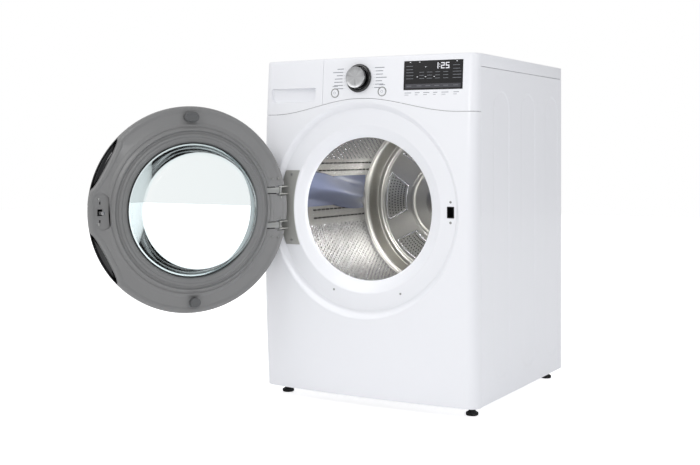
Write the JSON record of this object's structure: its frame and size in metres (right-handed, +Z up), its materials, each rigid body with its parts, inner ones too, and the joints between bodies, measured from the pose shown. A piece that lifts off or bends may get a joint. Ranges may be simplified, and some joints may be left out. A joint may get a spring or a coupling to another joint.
{
  "type": "clothes dryer",
  "caption": "Front-loading clothes dryer with a round glass door standing open, a stainless drum, a selector knob, a dark display and a water drawer.",
  "frame": {"origin": "middle of the base pan's underside, halfway across the width and the side panels' depth", "axes": "+Z up, +Y towards the back, +X to the right seen from the front; the front faces -Y"},
  "size_m": [0.926, 1.1835, 0.99],
  "materials": {
    "white_enamel": "gloss baked enamel on pressed steel",
    "white_plastic": "moulded ABS, fine satin gloss",
    "grey_plastic": "moulded plastic, satin",
    "pale_plastic": "moulded polypropylene",
    "black_plastic": "piano-black moulding",
    "rubber": "matt moulded rubber",
    "stainless": "embossed and perforated stainless sheet",
    "zinc_steel": "zinc-plated pressed steel",
    "hinge_zinc": "satin grey die-cast zinc",
    "aluminium": "pressed fins on copper tube",
    "lifter_plastic": "blue-grey moulded plastic",
    "glass": "clear tempered glass",
    "circuit_board": "glass-epoxy board",
    "black_enamel": "black stove enamel",
    "felt": "pressed wool felt"
  },
  "bodies": {
    "cabinet": {"base_pan": "white_enamel", "left_side_panel": "white_enamel", "right_side_panel": "white_enamel", "back_panel": "white_enamel", "rear_access_cover": "white_enamel", "power_inlet": "black_plastic", "top_panel": "white_enamel", "front_panel": "white_enamel", "control_panel": "white_plastic", "display_window": "black_plastic", "control_board": "circuit_board", "tank_guide": "pale_plastic", "knob_bezel": "black_plastic", "front_bulkhead": "zinc_steel", "rear_bulkhead": "zinc_steel", "rear_bearing": "zinc_steel", "drum_front_seal": "felt", "front_collar": "pale_plastic", "drum_belt": "rubber", "motor_stator": "zinc_steel", "motor_mount": "zinc_steel", "blower_housing": "pale_plastic", "compressor": "black_enamel", "evaporator_coil": "aluminium", "condenser_coil": "aluminium", "drain_pump": "black_plastic", "lint_duct": "pale_plastic", "hinge_bracket": "hinge_zinc", "latch_catch": "black_plastic"},
    "drum": {"drum_shell": "stainless", "drum_back": "stainless", "lifter_1": "lifter_plastic", "lifter_2": "lifter_plastic", "lifter_3": "lifter_plastic"},
    "door": {"door_inner_frame": "grey_plastic", "door_outer_cover": "black_plastic", "door_window": "glass", "door_glass_bowl": "glass", "hinge_arm_upper": "hinge_zinc", "hinge_arm_lower": "hinge_zinc", "door_pad_upper": "grey_plastic", "door_pad_lower": "grey_plastic"},
    "door_latch": {"latch_hook": "stainless"},
    "motor": {"motor_rotor": "zinc_steel", "blower_wheel": "grey_plastic"},
    "roller_left": {"front_roller_left": "rubber"},
    "roller_right": {"front_roller_right": "rubber"},
    "tensioner": {"idler_arm": "zinc_steel"},
    "idler_wheel": {"idler_pulley": "black_plastic"},
    "selector_knob": {"control_knob": "stainless"},
    "power_key": {"power_button": "white_plastic"},
    "start_key": {"start_button": "white_plastic"},
    "water_drawer": {"drawer_front": "white_plastic", "water_tank": "pale_plastic", "tank_lid": "pale_plastic"},
    "lint_screen": {"lint_filter": "pale_plastic"},
    "leg_front_left": {"foot_front_left": "rubber"},
    "leg_front_right": {"foot_front_right": "rubber"},
    "leg_rear_left": {"foot_rear_left": "rubber"},
    "leg_rear_right": {"foot_rear_right": "rubber"}
  },
  "joints": [
    {"name": "door_hinge", "type": "hinge", "parent": "cabinet", "child": "door", "pos_m": [-0.262, -0.392, 0.532], "axis": [0, 0, 1], "range_deg": [0, 123]},
    {"name": "latch_pivot", "type": "hinge", "parent": "door", "child": "door_latch", "pos_m": [-0.55204, -0.83679, 0.53], "axis": [0, 0, 1], "range_deg": [-8, 0], "stiffness_Nm_per_rad": 0.3},
    {"name": "drum_spin", "type": "hinge", "parent": "cabinet", "child": "drum", "pos_m": [0, 0, 0.532], "axis": [0, 1, 0], "continuous": true},
    {"name": "motor_spin", "type": "hinge", "parent": "cabinet", "child": "motor", "pos_m": [0.2, 0, 0.125], "axis": [0, 1, 0], "continuous": true},
    {"name": "roller_left_spin", "type": "hinge", "parent": "cabinet", "child": "roller_left", "pos_m": [-0.18217, -0.269, 0.27184], "axis": [0, 1, 0], "continuous": true},
    {"name": "roller_right_spin", "type": "hinge", "parent": "cabinet", "child": "roller_right", "pos_m": [0.18217, -0.269, 0.27184], "axis": [0, 1, 0], "continuous": true},
    {"name": "tensioner_pivot", "type": "hinge", "parent": "cabinet", "child": "tensioner", "pos_m": [0.075, -0.0345, 0.13], "axis": [0, 1, 0], "range_deg": [0, 12], "stiffness_Nm_per_rad": 2},
    {"name": "idler_spin", "type": "hinge", "parent": "tensioner", "child": "idler_wheel", "pos_m": [0.135, -0.0475, 0.1485], "axis": [0, 1, 0], "continuous": true},
    {"name": "knob_turn", "type": "hinge", "parent": "cabinet", "child": "selector_knob", "pos_m": [-0.0075, -0.37255, 0.902], "axis": [-0.0025, -0.9975, 0.0708], "continuous": true},
    {"name": "power_press", "type": "slide", "parent": "cabinet", "child": "power_key", "axis": [0.0289, 0.9975, -0.0641], "range_m": [0, 0.0015], "stiffness_N_per_m": 400},
    {"name": "start_press", "type": "slide", "parent": "cabinet", "child": "start_key", "axis": [-0.0229, 0.9977, -0.0642], "range_m": [0, 0.0015], "stiffness_N_per_m": 400},
    {"name": "drawer_slide", "type": "slide", "parent": "cabinet", "child": "water_drawer", "axis": [0, -1, 0], "range_m": [0, 0.3]},
    {"name": "filter_lift", "type": "slide", "parent": "cabinet", "child": "lint_screen", "axis": [0, 0, -1], "range_m": [-0.19, 0]},
    {"name": "foot_front_left_screw", "type": "hinge", "parent": "cabinet", "child": "leg_front_left", "pos_m": [-0.302, -0.288, 0], "axis": [0, 0, 1], "continuous": true},
    {"name": "foot_front_right_screw", "type": "hinge", "parent": "cabinet", "child": "leg_front_right", "pos_m": [0.302, -0.288, 0], "axis": [0, 0, 1], "continuous": true},
    {"name": "foot_rear_left_screw", "type": "hinge", "parent": "cabinet", "child": "leg_rear_left", "pos_m": [-0.302, 0.288, 0], "axis": [0, 0, 1], "continuous": true},
    {"name": "foot_rear_right_screw", "type": "hinge", "parent": "cabinet", "child": "leg_rear_right", "pos_m": [0.302, 0.288, 0], "axis": [0, 0, 1], "continuous": true}
  ],
  "couplings": [
    {"joint": "motor_spin", "follows": "drum_spin", "ratio": 24.675},
    {"joint": "roller_left_spin", "follows": "drum_spin", "ratio": -9.567},
    {"joint": "roller_right_spin", "follows": "drum_spin", "ratio": -9.567},
    {"joint": "idler_spin", "follows": "drum_spin", "ratio": -17.821}
  ]
}
